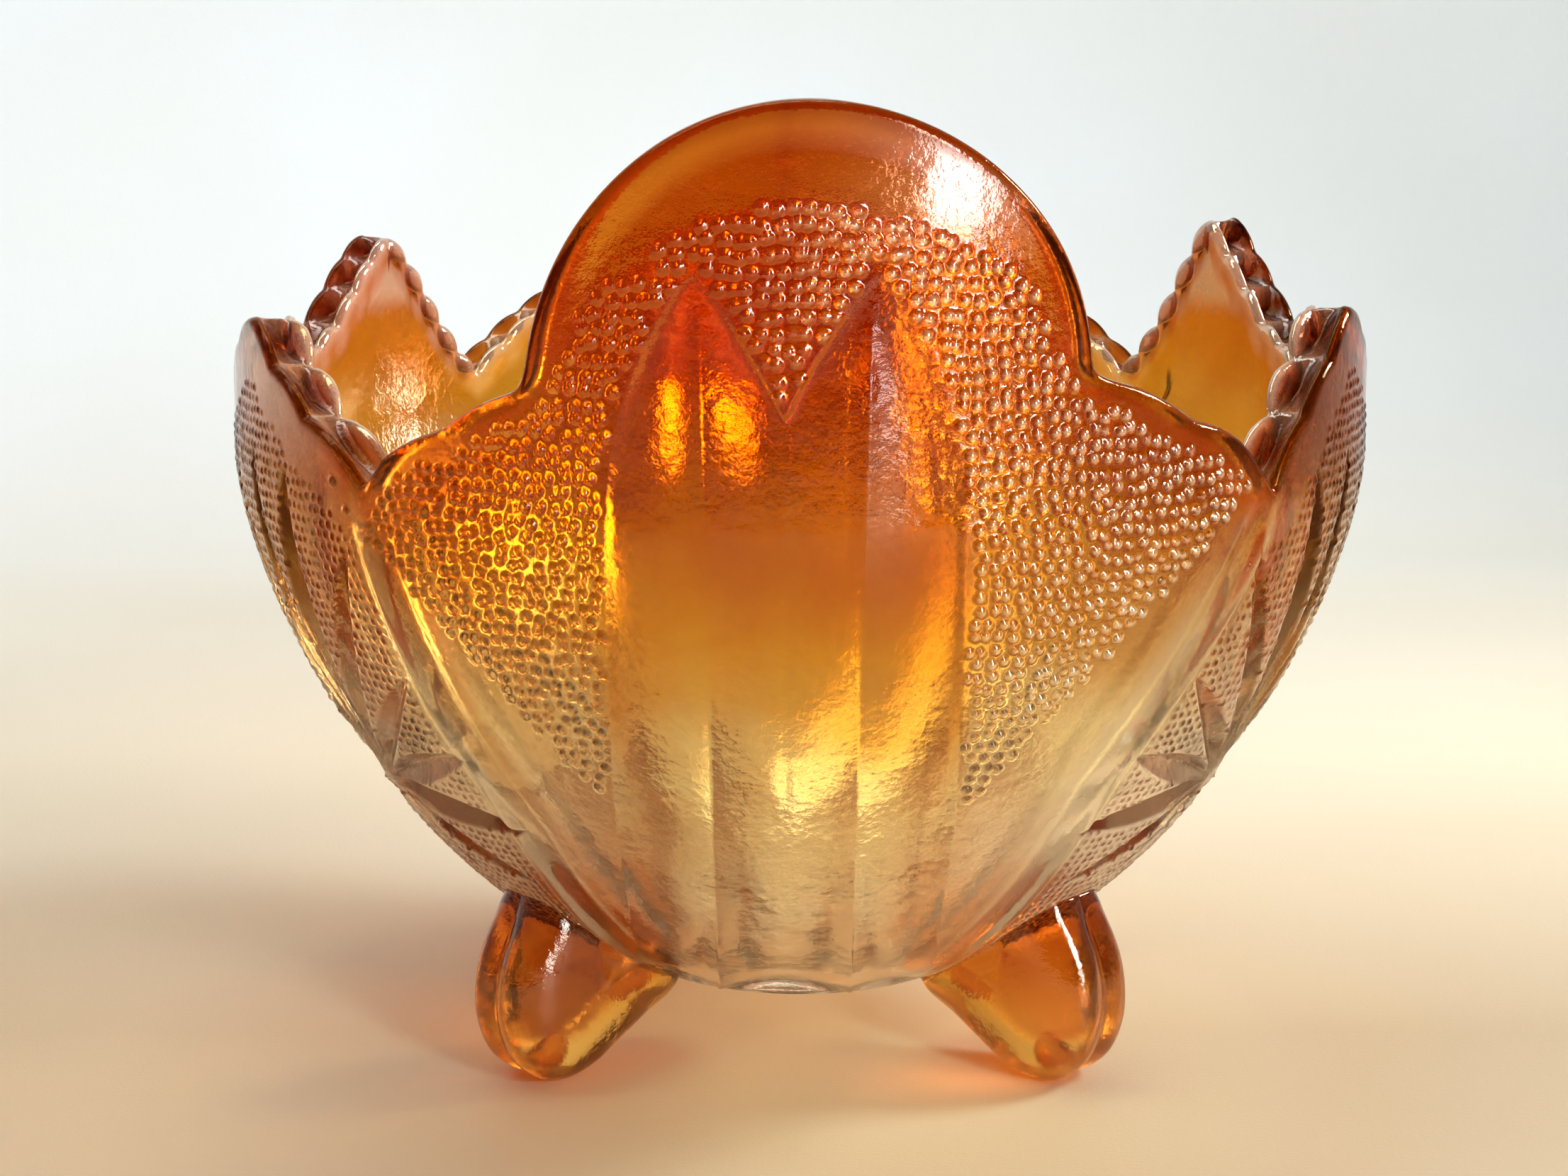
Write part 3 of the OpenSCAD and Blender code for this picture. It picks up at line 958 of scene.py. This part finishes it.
# floor that sweeps up into a backdrop
def build_stage():
    path = [(-900.0, 0.0), (-300.0, 0.0), (250.0, 0.0)]
    for a in np.radians(np.linspace(8, 90, 14)):
        path.append((300.0 + 190.0 * math.sin(a), 190.0 * (1 - math.cos(a))))
    path.append((490.0, 1300.0))
    xs = np.linspace(-1400.0, 1400.0, 15)
    verts = np.array([[x, y, z] for y, z in path for x in xs])
    n = len(xs)
    quads = np.array([[i * n + j, i * n + j + 1, (i + 1) * n + j + 1, (i + 1) * n + j]
                      for i in range(len(path) - 1) for j in range(n - 1)])
    obj = mesh_object("studio_sweep", verts, quads, np.zeros((0, 3), int))
    obj.data.materials.append(cloth_material())


build_stage()


def area(name, place_mm, size_mm, power, color, target=(0.0, 0.0, 60.0), spread=180.0):
    """An area light, aimed at a target; power in W and spread in degrees."""
    data = bpy.data.lights.new(name, "AREA")
    data.shape = "RECTANGLE"
    data.size, data.size_y = size_mm[0] * MM, size_mm[1] * MM
    data.energy = power
    data.color = color
    data.spread = math.radians(spread)
    obj = bpy.data.objects.new(name, data)
    obj.location = [c * MM for c in place_mm]
    aim = np.array(target) - np.array(place_mm)
    obj.rotation_euler = Vector(aim.tolist()).to_track_quat("-Z", "Y").to_euler()
    bpy.context.scene.collection.objects.link(obj)
    return obj


area("key_right", (520.0, 120.0, 380.0), (160.0, 160.0), 0.9, (1.0, 0.97, 0.92), spread=90.0)
area("window_right", (330.0, -600.0, 230.0), (150.0, 440.0), 1.9, (1.0, 0.98, 0.95))
area("sun_right", (371.0, -594.0, 315.0), (100.0, 260.0), 1.9, (1.0, 0.98, 0.93))
area("back_wash", (-340.0, 60.0, 800.0), (900.0, 300.0), 4.1, (0.92, 0.98, 1.0), (-480.0, 480.0, 200.0))


def build_world():
    """Soft surroundings: bright behind the object and above it, dim behind the camera."""
    world = bpy.data.worlds.new("studio")
    world.use_nodes = True
    tree = world.node_tree
    bg = tree.nodes["Background"]
    coord = tree.nodes.new("ShaderNodeTexCoord")
    xyz = tree.nodes.new("ShaderNodeSeparateXYZ")
    tree.links.new(coord.outputs["Generated"], xyz.inputs[0])
    span = tree.nodes.new("ShaderNodeMapRange")
    span.inputs["From Min"].default_value = -1.0
    tree.links.new(xyz.outputs["Y"], span.inputs["Value"])
    ramp = tree.nodes.new("ShaderNodeValToRGB")
    e = ramp.color_ramp.elements
    e.new(0.5)
    stops = ((0.0, (0.03, 0.028, 0.026)), (0.5, (0.13, 0.13, 0.13)), (1.0, (0.44, 0.47, 0.50)))
    for el, (pos, col) in zip(e, stops):
        el.position = pos
        el.color = (*col, 1.0)
    tree.links.new(span.outputs["Result"], ramp.inputs["Fac"])
    tree.links.new(ramp.outputs["Color"], bg.inputs["Color"])
    bg.inputs["Strength"].default_value = 1.0
    bpy.context.scene.world = world


build_world()

cam_data = bpy.data.cameras.new("camera")
cam_data.lens = 69.3
cam_data.sensor_width = 36.0
cam = bpy.data.objects.new("camera", cam_data)
cam.location = (-0.0021, -0.4043, 0.1406)
cam.rotation_euler = (math.radians(90.0 - 11.36), 0.0, 0.0)
bpy.context.scene.collection.objects.link(cam)
bpy.context.scene.camera = cam

scene = bpy.context.scene
scene.view_settings.view_transform = "Standard"
scene.view_settings.look = "Medium High Contrast"
scene.cycles.max_bounces = 16
scene.cycles.transmission_bounces = 14
scene.cycles.transparent_max_bounces = 16
